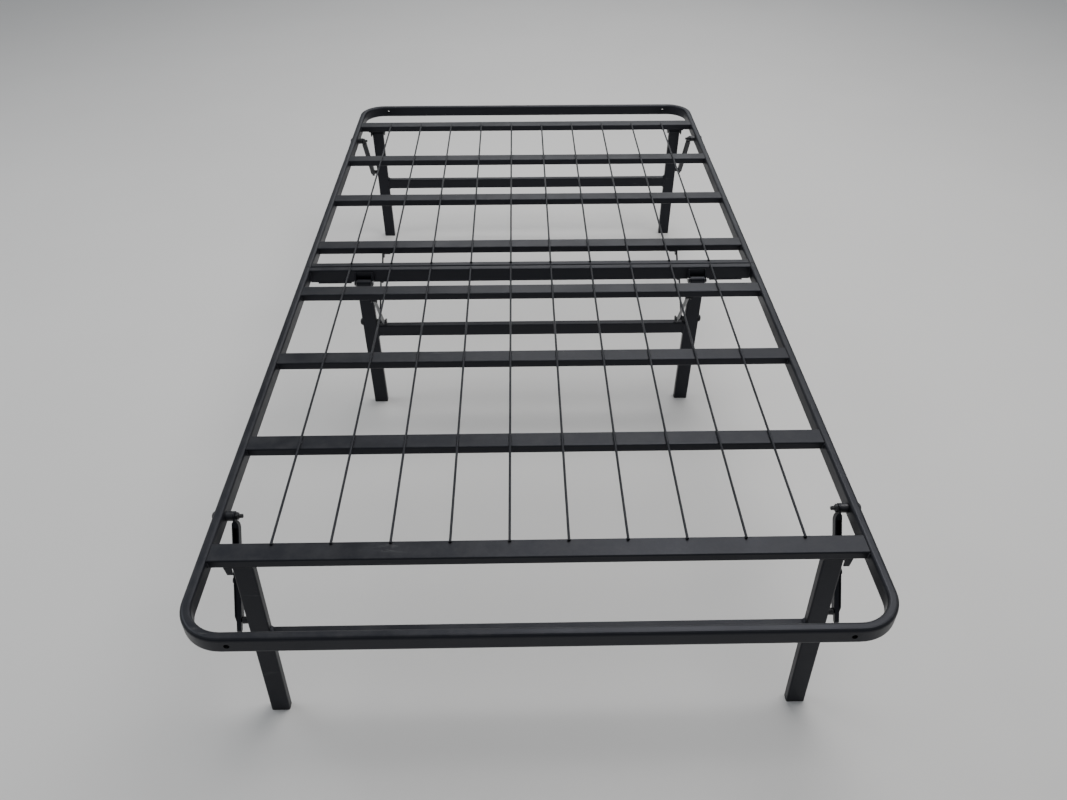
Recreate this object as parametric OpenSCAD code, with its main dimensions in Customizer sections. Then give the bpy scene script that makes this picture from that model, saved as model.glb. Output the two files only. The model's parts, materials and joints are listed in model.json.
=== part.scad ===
// Folding metal bed frame: two tube halves hinged at the middle, with three folding leg frames.
// X runs across the bed, Y from the foot end (-) to the head end (+), Z up from the floor.

/* [Overall] */
// Width over the side rails
bed_width = 965; // [820:5:1400]
// Length over the end rails
bed_length = 1905; // [1750:5:2100]
// Height of the deck (top of slats and rails) above the floor
deck_height = 356; // [310:1:420]

/* [Rails] */
// Width of the perimeter tube
rail_width = 15; // [12:1:20]
// Height of the perimeter tube
rail_height = 28; // [24:1:32]
// Rounding of the perimeter tube's edges
rail_edge_radius = 5; // [2:0.5:6]
// Radius of the corner bends, to the tube's centre line
rail_bend_radius = 57.5; // [40:0.5:70]
// Wall of every tube
tube_wall = 1.2; // [0.8:0.1:2]
// Distance between the two headboard bolt holes in an end rail
headboard_hole_spacing = 816; // [600:1:830]
// Diameter of a headboard bolt hole
headboard_hole_d = 8; // [5:0.5:12]

/* [Deck] */
// Width of a cross slat
slat_width = 34; // [24:1:40]
// Thickness of a cross slat
slat_thickness = 15; // [12:1:18]
// Rounding of the edges of slats, fold bars and legs
tube_edge_radius = 2.5; // [1:0.5:4]
// Distance from the end of the bed to the middle of the outermost slat
end_slat_inset = 150; // [120:1:200]
// Distance from the fold line to the middle of the innermost slat
inner_slat_offset = 97; // [85:1:130]
// Thickness of a fold bar, which stands on edge beside the fold line
fold_bar_width = 15; // [12:1:18]
// Height of a fold bar
fold_bar_height = 30; // [26:1:34]
// Gap between the two halves at the fold line
fold_gap = 2; // [1:0.5:4]
// Number of wires along each half of the deck
wire_count = 10; // [4:1:16]
// Distance between neighbouring wires
wire_pitch = 85; // [40:1:90]
// Diameter of a wire
wire_d = 4; // [3:0.5:6]
// How far a wire reaches onto the outermost slat
wire_overlap = 6; // [4:1:20]

/* [Legs] */
// Width of a leg tube, seen from the end of the bed
leg_width = 30; // [24:1:36]
// Depth of a leg tube, along the bed
leg_depth = 15; // [12:1:16]
// Distance from the bed's centre line to the middle of an end leg
end_leg_x = 424; // [300:1:424]
// Distance from the bed's centre line to the middle of a centre leg
mid_leg_x = 354; // [250:1:360]
// Outward lean of the end legs
end_leg_lean = 3; // [0:0.5:5]
// Lean of the centre legs towards the head end
mid_leg_lean = 3.5; // [0:0.5:5]
// Distance from the deck down to the leg pivots
leg_pivot_drop = 25; // [24:0.5:26]
// Distance from the fold line to the pivots of the centre legs
mid_pivot_offset = 27; // [26:0.5:32]
// Height of a crossbar between two legs
crossbar_height = 28; // [20:1:32]
// Distance along an end leg from its pivot to the middle of its crossbar
end_crossbar_drop = 157; // [140:1:200]
// Distance along a centre leg from its pivot to the middle of its crossbar
mid_crossbar_drop = 123; // [120:1:180]
// Thickness of the floor of a foot cap
cap_thickness = 3; // [2:0.5:6]

/* [Hinges] */
// Distance from the bed's centre line to the middle of a hinge
hinge_x = 418; // [300:1:430]
// Length of a hinge's barrel
hinge_barrel_length = 56; // [40:1:70]
// Length of a hinge's leaf
hinge_leaf_length = 70; // [60:1:90]
// Outer radius of a hinge's barrel
hinge_barrel_r = 5; // [4.5:0.1:6]
// Radius of a hinge pin
hinge_pin_r = 3; // [2:0.1:3.2]
// Thickness of a hinge's leaf
hinge_leaf_t = 2; // [1:0.1:2.2]

/* [Braces] */
// Distance from the outermost slat's middle to the bolt that holds a brace to the rail
rail_bolt_offset = 84; // [70:1:100]
// Distance from an end leg's pivot to the bolt of its brace
leg_bolt_drop = 120; // [100:1:125]
// Width of a brace arm, a channel open towards the end of the bed
arm_width = 10.5; // [9:0.5:13]
// Height of a brace arm's sides
arm_height = 12; // [10:0.5:13]
// Thickness of a brace arm's sheet
arm_sheet = 1.5; // [1:0.1:2]
// Length of the arm's tail past its knee
arm_tail = 66; // [20:1:66]
// Gap between a rail and a brace arm
arm_rail_gap = 9.5; // [8:0.5:11]
// Height of a brace link, which folds into the arm
link_height = 8; // [6:0.5:9]
// How far a brace link reaches past its bolt on the leg
link_tail = 18; // [4:1:20]
// Radius of the brace bolts
bolt_r = 3.5; // [2.5:0.1:4]

/* [Centre links] */
// Distance from a centre leg's pivot to its bolt
mid_bolt_drop = 101; // [95:1:110]
// Distance from the deck down to the centre link's bracket pin
link_pin_drop = 27; // [26:0.5:28]
// Thickness of a flat centre link
flat_link_t = 2.5; // [2:0.1:3]
// Height of a flat centre link
flat_link_height = 9; // [8:0.5:10]
// Outer diameter of a centre spring
spring_d = 7; // [5:0.5:8]
// Distance from the deck down to a spring's anchor
spring_anchor_drop = 22; // [21:0.5:24]

/* [Hidden] */
$fn = 32;
rail_color = "#2b2d31";
steel_color = "#8f9296";
fastener_color = "#1c1d20";
cap_color = "#151515";
running_gap = 0.05; // radial clearance of a pin that turns
side_gap = 0.5; // clearance between plates that slide past each other
press_gap = 0.02; // clearance of a bolt that is fixed in its hole
weld_seat = 0.05; // a wire's height above the tubes that it crosses
half_width = bed_width / 2;
half_length = bed_length / 2;
half_gap = fold_gap / 2;
rail_in_x = half_width - rail_width;
pivot_z = deck_height - leg_pivot_drop;
slat_bottom = deck_height - slat_thickness;
fold_bar_bottom = deck_height - fold_bar_height;
hinge_z = fold_bar_bottom - hinge_barrel_r;
end_slat_y = half_length - end_slat_inset;
slat_count = 4;
slat_pitch = (end_slat_y - inner_slat_offset) / (slat_count - 1);
pin_head = 2; // thickness of a pin's or rivet's head
bolt_head_r = 8;
bolt_head_h = 6;
nut_r = 6.5;
nut_h = 5;
bolt_end = 6; // how far a brace bolt stands out of its nut
spacer_wall = 4;
arm_tab = 3; // thickness of the flattened end of a brace arm at the rail bolt
arm_tab_r = 7.5; // radius of that end
arm_tab_shift = 2; // how far that end stands outboard of the arm's middle
arm_shoulder = arm_tab_r + 3; // from the rail bolt to the arm's full width, outboard
arm_neck = arm_shoulder + 9; // the same inboard, where the arm is rounded over
knee_rivet_r = 2.5;
rivet_flange = 1.5; // how far the arm's rivet heads reach past the rivet
link_pin_r = 3;
link_rivet_flange = 1;
hinge_pin_flange = 0.8;
hinge_pin_head = 1.5;
hinge_knuckles = 5;
cap_plug = 15; // how deep a foot cap's plug reaches into its leg
cap_plug_gap = 0.2; // between the plug and the inside of the leg
shoulder_wall = 2; // of the sleeve on a leg bolt
bolt_stop = 3; // thickness of the collar at the end of a centre leg's bolt
bolt_stop_flange = 2.5;
anchor_r = 2.5;
anchor_head_r = 4;
anchor_tab = 2; // thickness of the tab that holds a spring's anchor
anchor_tab_width = 6;
anchor_past_slat = 6; // how far a spring's anchor stands from its slat's middle
spring_wall = 1;
spring_hook = 7; // room for the hook at each end of a spring

// Leg brackets: a plate under the slat with two ears beside the leg
bracket_sheet = 2;
ear_gap = 1.5; // between a leg's side and an ear
bracket_half = leg_width / 2 + ear_gap + bracket_sheet;
bracket_flange = 4.5; // how far the plate reaches past its outboard ear
bracket_wing = 2; // the same at the bottom of the bracket's front
bracket_lip = 6; // how far the outboard ear and the front reach below the pin
bracket_cover = 3; // how far the front covers the leg
leg_pin_r = 3.5;
pin_seat = 6.5; // half-width of an ear at its pin
ear_chamfer = 2;
leg_pin_flange = 1.5;
ear_inset = 1; // how far a bracket stays inside the width of its slat
centre_bracket_drop = 4; // from the deck down to the top of a centre bracket
centre_bracket_lift = 1; // from the fold bar's underside up to the bottom of a centre bracket

// End braces, in the plane of (inboard distance from the outermost slat, height above the pivot)
rail_bolt = [rail_bolt_offset, leg_pivot_drop - rail_height / 2];
leg_bolt = leg_bolt_drop * [-sin(end_leg_lean), -cos(end_leg_lean)];
folded_leg_bolt = [leg_bolt_drop, 0];
folded_knee_z = 2; // height of the knee when the legs are folded
arm_x = rail_in_x - arm_rail_gap - arm_width / 2;
arm_tab_x = arm_x + arm_tab_shift; // middle of an arm's flattened end
nut_x = arm_tab_x - arm_tab / 2 - side_gap / 2; // outer face of a brace bolt's nut
link_width = arm_width - 2 * arm_sheet - 2 * side_gap;
arm_web = link_height / 2 + side_gap + arm_sheet; // from an arm's centre line to its web's outer face
brace_span = norm(rail_bolt - leg_bolt);
knee_reach = between(
    rail_bolt, folded_leg_bolt, folded_knee_z, brace_span, rail_bolt[0], rail_bolt[0] + brace_span
);
arm_length = norm([knee_reach, folded_knee_z] - rail_bolt);
link_length = brace_span - arm_length;
brace_angle = angle_of(leg_bolt - rail_bolt);
knee = rail_bolt + arm_length * [cos(brace_angle), sin(brace_angle)];

// Centre links, in the plane of (Y, Z)
mid_pivot = [-mid_pivot_offset, pivot_z];
mid_bolt = mid_pivot + mid_bolt_drop * [sin(mid_leg_lean), -cos(mid_leg_lean)];
link_pin = [inner_slat_offset, deck_height - link_pin_drop];
hinge_point = [0, hinge_z];
folded_link_pin = 2 * hinge_point - link_pin;
folded_mid_bolt = mid_pivot - [mid_bolt_drop, 0];
folded_link_knee_drop = 4; // of the knee below the hinge when the deck is folded
folded_link_knee_z = hinge_z - folded_link_knee_drop;
centre_span = norm(link_pin - mid_bolt);
centre_reach = between(
    folded_link_pin, folded_mid_bolt, folded_link_knee_z, centre_span,
    folded_link_pin[0], folded_link_pin[0] + centre_span
);
far_link_length = norm([centre_reach, folded_link_knee_z] - folded_link_pin);
leg_link_length = centre_span - far_link_length;
centre_angle = angle_of(link_pin - mid_bolt);
spring_anchor = [-inner_slat_offset - anchor_past_slat, deck_height - spring_anchor_drop];
mid_leg_in_x = mid_leg_x - leg_width / 2;
leg_link_space = 6; // between a centre leg and its link
leg_link_x = mid_leg_in_x - leg_link_space; // outer face of the link on the leg's bolt
far_link_x = leg_link_x - flat_link_t - side_gap; // outer face of the link on the head half
spring_x = far_link_x - flat_link_t - side_gap - spring_d / 2;
mid_bolt_end_x = spring_x - spring_d / 2;
link_bracket_x = far_link_x - flat_link_t - side_gap; // outer face of the bracket's plate
link_bracket_flange = 14; // how far the bracket's top reaches inboard of its plate
link_ear_half = 5; // half-width of the bracket's plate at its pin
link_pin_end = 0.4; // how far the bracket's pin stands out of the link

// ---- functions ----

function angle_of(v) = atan2(v[1], v[0]);

// The place on the line at height z where the distances to points p and q add up to span
function between(p, q, z, span, low, high, steps = 40) =
    let (middle = (low + high) / 2, sum = norm([middle, z] - p) + norm([middle, z] - q))
    steps == 0 ? middle
    : sum > span ? between(p, q, z, span, low, middle, steps - 1)
    : between(p, q, z, span, middle, high, steps - 1);

// Outline of a rounded rectangle centred on the origin
function rounded(w, h, r, steps = 4) = [
    for (corner = [0:3], i = [0:steps])
        let (
            sx = (corner == 0 || corner == 3) ? 1 : -1,
            sy = corner < 2 ? 1 : -1,
            a = corner * 90 + i * 90 / steps
        )
        [sx * (w / 2 - r) + r * cos(a), sy * (h / 2 - r) + r * sin(a)]
];

// ---- building blocks ----

// Cross-section of a tube
module tube_section(w, h, r) {
    difference() {
        polygon(rounded(w, h, r));
        polygon(rounded(w - 2 * tube_wall, h - 2 * tube_wall, r - tube_wall / 2));
    }
}

// A tube along X, centred on the origin; w is along Y and h along Z
module tube_x(length, w, h, r) {
    rotate([90, 0, 90]) translate([0, 0, -length / 2]) linear_extrude(length) tube_section(w, h, r);
}

// A round bar along X between two places
module rod_x(x1, x2, r) {
    translate([min(x1, x2), 0, 0]) rotate([0, 90, 0]) cylinder(h = abs(x2 - x1), r = r);
}

// Places the children at both sides of the bed
module both_sides() {
    children();
    mirror([1, 0, 0]) children();
}

// Places the children of the foot half at the head half
module at_head() {
    mirror([0, 1, 0]) children();
}

// Turns a shape drawn in (inboard distance, height) into the foot end's brace plane
module brace_plane() {
    translate([0, -end_slat_y, pivot_z]) rotate([90, 0, 90]) children();
}

// Domed bolt head along X, with its flat side at the origin and its dome towards +X
module dome_head() {
    steps = 6;
    rim = 1;
    arc = [
        for (i = [0:steps])
            [bolt_head_r * cos(i * 90 / steps), rim + (bolt_head_h - rim) * sin(i * 90 / steps)]
    ];
    rotate([0, 90, 0]) rotate_extrude() polygon(concat([[0, 0], [bolt_head_r, 0]], arc));
}

// Hexagon nut along X from the origin to +X
module nut() {
    rotate([0, 90, 0]) difference() {
        cylinder(h = nut_h, r = nut_r, $fn = 6);
        translate([0, 0, -1]) cylinder(h = nut_h + 2, r = bolt_r + press_gap);
    }
}

// ---- halves of the deck, drawn for the foot half ----

module rail_section() {
    tube_section(rail_width, rail_height, rail_edge_radius);
}

module half_rail() {
    straight = half_length - half_gap - rail_width / 2 - rail_bend_radius;
    bend_x = half_width - rail_width / 2 - rail_bend_radius;
    bend_y = half_length - rail_width / 2 - rail_bend_radius;
    mid_z = deck_height - rail_height / 2;
    difference() {
        translate([0, 0, mid_z]) {
            both_sides() {
                translate([half_width - rail_width / 2, -half_gap, 0]) rotate([90, 0, 0])
                    linear_extrude(straight) rail_section();
                translate([bend_x, -bend_y, 0]) rotate([0, 0, -90]) rotate_extrude(angle = 90)
                    translate([rail_bend_radius, 0]) rail_section();
            }
            translate([0, -half_length + rail_width / 2, 0]) rotate([90, 0, 90])
                translate([0, 0, -bend_x]) linear_extrude(2 * bend_x) rail_section();
        }
        both_sides() {
            translate([headboard_hole_spacing / 2, -half_length + rail_width + 1, mid_z])
                rotate([90, 0, 0]) cylinder(h = rail_width + 2, r = headboard_hole_d / 2);
            translate([0, -end_slat_y + rail_bolt[0], mid_z])
                rod_x(rail_in_x - 1, half_width + 1, bolt_r + press_gap);
        }
    }
}

module half_fold_bar() {
    translate([0, -half_gap - fold_bar_width / 2, deck_height - fold_bar_height / 2])
        tube_x(2 * rail_in_x, fold_bar_width, fold_bar_height, tube_edge_radius);
}

// Slat 1 is the outermost
module half_slat(number) {
    translate([0, -end_slat_y + (number - 1) * slat_pitch, deck_height - slat_thickness / 2])
        tube_x(2 * rail_in_x, slat_width, slat_thickness, tube_edge_radius);
}

module half_wires() {
    start = end_slat_y - slat_width / 2 + wire_overlap;
    stop = half_gap + fold_bar_width / 2;
    first_x = -(wire_count - 1) / 2 * wire_pitch;
    for (i = [0:wire_count - 1])
        translate([first_x + i * wire_pitch, -stop, deck_height + weld_seat + wire_d / 2])
            rotate([90, 0, 0]) cylinder(h = start - stop, r = wire_d / 2);
}

// Bracket on the right side that holds an end leg's pin; its front covers the leg's outboard edge
module half_leg_bracket() {
    root = slat_bottom - pivot_z;
    half = slat_width / 2 - ear_inset;
    corner = pin_seat - ear_chamfer;
    translate([end_leg_x, -end_slat_y, pivot_z]) {
        translate([-bracket_half, 0, 0]) rotate([90, 0, 90]) linear_extrude(bracket_sheet) difference() {
            polygon([
                [-half, root], [-pin_seat, 0], [-corner, -corner], [0, -pin_seat],
                [corner, -corner], [pin_seat, 0], [half, root]
            ]);
            circle(r = leg_pin_r + press_gap);
        }
        translate([bracket_half - bracket_sheet, 0, 0]) rotate([90, 0, 90]) linear_extrude(bracket_sheet)
            difference() {
                polygon([
                    [-half, root], [-half, -bracket_lip], [half - 2 * ear_chamfer, -bracket_lip],
                    [half, 2 * ear_chamfer - bracket_lip], [half, root]
                ]);
                circle(r = leg_pin_r + press_gap);
            }
        translate([-bracket_half, -half, root - bracket_sheet])
            cube([2 * bracket_half + bracket_flange, 2 * half, bracket_sheet]);
        translate([0, bracket_sheet - half, 0]) rotate([90, 0, 0]) linear_extrude(bracket_sheet)
            polygon([
                [leg_width / 2 - bracket_cover, root - bracket_sheet / 2],
                [bracket_half + bracket_flange, root - bracket_sheet / 2],
                [bracket_half + bracket_wing, -bracket_lip],
                [leg_width / 2 - bracket_cover, -bracket_lip]
            ]);
    }
}

// Bracket on the right side that holds a centre leg's pin, welded to the face of the fold bar
module centre_leg_bracket() {
    face = -half_gap - fold_bar_width - mid_pivot[0];
    top = deck_height - centre_bracket_drop - pivot_z;
    bottom = fold_bar_bottom + centre_bracket_lift - pivot_z;
    translate([mid_leg_x, mid_pivot[0], pivot_z]) {
        for (side = [-1, 1])
            translate([side * (bracket_half - bracket_sheet / 2) - bracket_sheet / 2, 0, 0])
                rotate([90, 0, 90]) linear_extrude(bracket_sheet) difference() {
                    polygon([
                        [face, bottom], [face, top], [face - 2 * bracket_sheet, top],
                        [-pin_seat, ear_chamfer], [-pin_seat, -ear_chamfer],
                        [-ear_chamfer, -pin_seat], [ear_chamfer, -pin_seat]
                    ]);
                    circle(r = leg_pin_r + press_gap);
                }
        translate([-bracket_half, face - bracket_sheet, bottom])
            cube([2 * bracket_half, bracket_sheet, top - bottom]);
    }
}

// Pin of a leg on the right side: a shank with a head at each end, the leg's middle at the origin
module leg_pin() {
    rod_x(-bracket_half - pin_head, bracket_half + pin_head, leg_pin_r);
    both_sides() rod_x(bracket_half, bracket_half + pin_head, leg_pin_r + leg_pin_flange);
}

module end_leg_pin() {
    translate([end_leg_x, -end_slat_y, pivot_z]) leg_pin();
}

module mid_leg_pin() {
    translate([mid_leg_x, mid_pivot[0], pivot_z]) leg_pin();
}

// Hinge leaf of the foot half on the right side; its knuckles are numbered from the inside out
module half_hinge_leaf(own) {
    pitch = hinge_barrel_length / hinge_knuckles;
    seat = hinge_barrel_r + side_gap;
    translate([hinge_x, 0, hinge_z]) {
        translate([-hinge_leaf_length / 2, -half_gap - fold_bar_width, hinge_barrel_r - hinge_leaf_t])
            cube([hinge_leaf_length, half_gap + fold_bar_width - seat, hinge_leaf_t]);
        difference() {
            for (i = own) translate([-hinge_barrel_length / 2 + i * pitch + side_gap / 2, 0, 0]) {
                rod_x(0, pitch - side_gap, hinge_barrel_r);
                translate([0, -seat - 1, hinge_barrel_r - hinge_leaf_t])
                    cube([pitch - side_gap, seat + 0.5, hinge_leaf_t]);
            }
            rod_x(-hinge_barrel_length, hinge_barrel_length, hinge_pin_r + running_gap);
        }
    }
}

module hinge_pin() {
    translate([hinge_x, 0, hinge_z]) {
        rod_x(-hinge_barrel_length / 2 - 1, hinge_barrel_length / 2 + 1, hinge_pin_r);
        both_sides() rod_x(
            hinge_barrel_length / 2, hinge_barrel_length / 2 + hinge_pin_head, hinge_pin_r + hinge_pin_flange
        );
    }
}

module at_rail_bolt() {
    translate([0, -end_slat_y + rail_bolt[0], pivot_z + rail_bolt[1]]) children();
}

// Bolt through the right rail that carries a brace arm
module half_brace_bolt() {
    at_rail_bolt() {
        rod_x(nut_x - nut_h - bolt_end, half_width + 1, bolt_r);
        translate([half_width, 0, 0]) dome_head();
    }
}

module half_brace_nut() {
    at_rail_bolt() translate([nut_x - nut_h, 0, 0]) nut();
}

module half_brace_spacer() {
    at_rail_bolt() difference() {
        rod_x(arm_tab_x + arm_tab / 2 + side_gap / 2, rail_in_x, bolt_r + spacer_wall);
        rod_x(arm_x, rail_in_x + 1, bolt_r + press_gap);
    }
}

// ---- leg frames ----

// Everything below a height above the floor, as seen from a leg that hangs at a lean
module below_floor(lean, height) {
    rotate([lean, 0, 0]) translate([0, 0, -pivot_z + height - leg_width])
        cube([2 * leg_width, 4 * leg_depth, 2 * leg_width], center = true);
}

// Leg tube with its pivot at the origin, hanging straight down to the floor along a lean
module leg(lean, bolt_drop) {
    length = (pivot_z - cap_thickness) / cos(lean) + leg_depth;
    difference() {
        union() {
            translate([0, 0, -length]) linear_extrude(length)
                tube_section(leg_width, leg_depth, tube_edge_radius);
            rod_x(-leg_width / 2, leg_width / 2, leg_depth / 2);
        }
        rod_x(-leg_width, leg_width, leg_pin_r + running_gap);
        translate([0, 0, -bolt_drop]) rod_x(-leg_width, leg_width, bolt_r + press_gap);
        below_floor(lean, cap_thickness);
    }
}

// Cap with a plug that fits in the leg's end; its underside lies on the floor
module leg_cap(lean) {
    inset = 2 * (tube_wall + cap_plug_gap);
    length = (pivot_z + leg_depth) / cos(lean);
    difference() {
        union() {
            translate([0, 0, -length]) linear_extrude(length - pivot_z + cap_thickness + cap_plug)
                polygon(rounded(leg_width - inset, leg_depth - inset, tube_edge_radius - tube_wall / 2));
            intersection() {
                translate([0, 0, -length]) linear_extrude(length)
                    polygon(rounded(leg_width, leg_depth, tube_edge_radius));
                below_floor(lean, cap_thickness);
            }
        }
        below_floor(lean, 0);
    }
}

// Puts a leg, drawn hanging from the origin, at its pivot; lean turns its foot towards the foot end
module leg_place(x, y, lean) {
    translate([x, y, pivot_z]) rotate([-lean, 0, 0]) children();
}

module crossbar(x, y, lean, drop) {
    leg_place(0, y, lean) translate([0, 0, -drop])
        tube_x(2 * x - leg_width, leg_depth, crossbar_height, tube_edge_radius);
}

// Bolt of an end leg on the right side, flush inside, with a shoulder that ends beside the arm
module end_leg_bolt() {
    leg_place(end_leg_x, -end_slat_y, end_leg_lean) translate([0, 0, -leg_bolt_drop]) {
        rod_x(-leg_width / 2, leg_width / 2 + 1, bolt_r);
        rod_x(leg_width / 2, arm_x - arm_width / 2 - side_gap - end_leg_x, bolt_r + shoulder_wall);
    }
}

// Bolt of a centre leg on the right side, which carries the leg's link and the spring
module mid_leg_bolt() {
    leg_place(mid_leg_x, mid_pivot[0], -mid_leg_lean) translate([0, 0, -mid_bolt_drop]) {
        translate([leg_width / 2, 0, 0]) dome_head();
        rod_x(mid_bolt_end_x - mid_leg_x, leg_width / 2 + 1, bolt_r);
        rod_x(leg_link_x + side_gap / 2 - mid_leg_x, -leg_width / 2, bolt_r + shoulder_wall);
        rod_x(
            mid_bolt_end_x - bolt_stop - mid_leg_x, mid_bolt_end_x - mid_leg_x, bolt_r + bolt_stop_flange
        );
    }
}

// ---- braces and links ----

// Outline of an arm seen across the bed, from the rail bolt at the origin along +X, web below
module arm_side() {
    reach = arm_length + arm_tail;
    high = arm_height - arm_web;
    circle(r = arm_tab_r);
    polygon([
        [0, -arm_web], [reach - 2, -arm_web], [reach, 2 - arm_web], [reach, 3 - arm_web],
        [reach - arm_height, high], [0, high]
    ]);
}

// Outline of an arm seen square to its web, inboard side below
module arm_plan() {
    half = arm_width / 2;
    low = arm_tab_shift - arm_tab / 2;
    steps = 6;
    back = -2 * arm_tab_r;
    bend = [
        for (i = [0:steps])
            [
                arm_neck - (arm_neck - arm_tab_r) * sin(90 - i * 90 / steps),
                -half + (low + half) * (1 - cos(90 - i * 90 / steps))
            ]
    ];
    polygon(concat(
        [[back, low]], bend, [
            [arm_length + arm_tail + 1, -half], [arm_length + arm_tail + 1, half], [arm_shoulder, half],
            [arm_tab_r, low + arm_tab], [back, low + arm_tab]
        ]
    ));
}

// Channel arm on the right side, with a flattened end at the rail bolt
module arm_body() {
    difference() {
        intersection() {
            translate([0, 0, -arm_width]) linear_extrude(2 * arm_width) difference() {
                arm_side();
                circle(r = bolt_r + running_gap);
            }
            translate([0, 2 * arm_height, 0]) rotate([90, 0, 0]) linear_extrude(4 * arm_height) arm_plan();
        }
        translate([arm_neck - 2, arm_sheet - arm_web, arm_sheet - arm_width / 2])
            cube([arm_length + arm_tail, 2 * arm_height, arm_width - 2 * arm_sheet]);
    }
    translate([arm_length, 0, -arm_width / 2 - pin_head / 2])
        cylinder(h = arm_width + pin_head, r = knee_rivet_r);
    for (side = [-1, 1]) translate([arm_length, 0, side * (arm_width + pin_head) / 2 - pin_head / 2])
        cylinder(h = pin_head, r = knee_rivet_r + rivet_flange);
}

// In the (inboard, up) plane the web of the arm faces inboard and down
module half_brace_arm() {
    translate([arm_x, 0, 0]) brace_plane() translate(rail_bolt) rotate(brace_angle) mirror([0, 1, 0])
        arm_body();
}

// Link on the right side from the knee past the leg bolt
module half_brace_link() {
    r = link_height / 2;
    reach = link_length + link_tail - r;
    translate([arm_x, 0, 0]) brace_plane() translate(knee) rotate(brace_angle)
        translate([0, 0, -link_width / 2]) linear_extrude(link_width) difference() {
            union() {
                translate([0, -r]) square([reach, link_height]);
                circle(r = r);
                translate([reach, 0]) circle(r = r);
            }
            circle(r = knee_rivet_r + running_gap);
        }
}

// Flat link in the (Y, Z) plane from p along an angle, its outer face at x
module flat_link(p, angle, length, x, hole_r) {
    r = flat_link_height / 2;
    translate([x - flat_link_t, p[0], p[1]]) rotate([90, 0, 90]) rotate(angle) linear_extrude(flat_link_t)
        difference() {
            union() {
                translate([0, -r]) square([length, flat_link_height]);
                circle(r = r);
                translate([length, 0]) circle(r = r);
            }
            circle(r = hole_r);
        }
}

module centre_leg_link() {
    flat_link(mid_bolt, centre_angle, leg_link_length, leg_link_x, bolt_r + running_gap);
}

// The link on the head half, with the knee's rivet head
module centre_far_link() {
    flat_link(link_pin, centre_angle + 180, far_link_length, far_link_x, link_pin_r + running_gap);
    knee_place = link_pin - far_link_length * [cos(centre_angle), sin(centre_angle)];
    translate([0, knee_place[0], knee_place[1]]) rod_x(
        far_link_x - flat_link_t - pin_head, far_link_x - flat_link_t, knee_rivet_r + link_rivet_flange
    );
}

// Bracket under the innermost slat of the head half, on the right side, with its own pin
module centre_link_bracket() {
    root = slat_bottom - link_pin[1];
    length = slat_width - 4 * ear_inset;
    corner = link_ear_half - ear_chamfer;
    translate([link_bracket_x - bracket_sheet, link_pin[0], link_pin[1]]) {
        rotate([90, 0, 90]) linear_extrude(bracket_sheet)
            polygon([
                [-length / 2, root], [-link_ear_half, -corner], [-corner, -link_ear_half],
                [corner, -link_ear_half], [link_ear_half, -corner], [length / 2, root]
            ]);
        translate([-link_bracket_flange - bracket_sheet, -length / 2, root - bracket_sheet])
            cube([link_bracket_flange + 1.5 * bracket_sheet, length, bracket_sheet]);
        rod_x(bracket_sheet / 2, bracket_sheet + side_gap + flat_link_t + link_pin_end, link_pin_r);
    }
}

// ---- springs ----

// Stud across a spring's hook, with a tab that reaches up to the slat
module spring_anchor_bolt() {
    reach = spring_d / 2 + 1;
    translate([spring_x, spring_anchor[0], spring_anchor[1]]) {
        rod_x(-reach - anchor_tab, reach + anchor_tab, anchor_r);
        both_sides() rod_x(reach, reach + anchor_tab, anchor_head_r);
        translate([-reach - anchor_tab, -anchor_tab_width / 2, 0])
            cube([anchor_tab, anchor_tab_width, slat_bottom - spring_anchor[1]]);
    }
}

// The outer shape of a stretched coil spring on the right side
module centre_spring() {
    way = spring_anchor - mid_bolt;
    translate([spring_x, mid_bolt[0], mid_bolt[1]]) rotate([90, 0, 90]) rotate(angle_of(way))
        rotate([0, 90, 0]) translate([0, 0, spring_hook]) difference() {
            cylinder(h = norm(way) - 2 * spring_hook, r = spring_d / 2);
            translate([0, 0, -1]) cylinder(h = norm(way), r = spring_d / 2 - spring_wall);
        }
}

// ---- nodes of the foot half ----

module foot_rail() { color(rail_color) half_rail(); }
module foot_fold_bar() { color(rail_color) half_fold_bar(); }
module foot_slat(number) { color(rail_color) half_slat(number); }
module foot_wires() { color(rail_color) half_wires(); }
module foot_leg_bracket_left() { color(rail_color) mirror([1, 0, 0]) half_leg_bracket(); }
module foot_leg_bracket_right() { color(rail_color) half_leg_bracket(); }
module mid_leg_bracket_left() { color(rail_color) mirror([1, 0, 0]) centre_leg_bracket(); }
module mid_leg_bracket_right() { color(rail_color) centre_leg_bracket(); }
module foot_hinge_leaf_left() { color(rail_color) mirror([1, 0, 0]) half_hinge_leaf([0, 2, 4]); }
module foot_hinge_leaf_right() { color(rail_color) half_hinge_leaf([0, 2, 4]); }
module hinge_pin_left() { color(steel_color) mirror([1, 0, 0]) hinge_pin(); }
module hinge_pin_right() { color(steel_color) hinge_pin(); }
module foot_brace_bolts() { color(fastener_color) both_sides() half_brace_bolt(); }
module foot_brace_nuts() { color(fastener_color) both_sides() half_brace_nut(); }
module foot_brace_spacers() { color(fastener_color) both_sides() half_brace_spacer(); }
module foot_leg_pins() { color(fastener_color) both_sides() end_leg_pin(); }
module mid_leg_pins() { color(fastener_color) both_sides() mid_leg_pin(); }
module spring_anchors() { color(fastener_color) both_sides() spring_anchor_bolt(); }
module centre_spring_left() { color(steel_color) mirror([1, 0, 0]) centre_spring(); }
module centre_spring_right() { color(steel_color) centre_spring(); }

// ---- nodes of the head half ----

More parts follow.
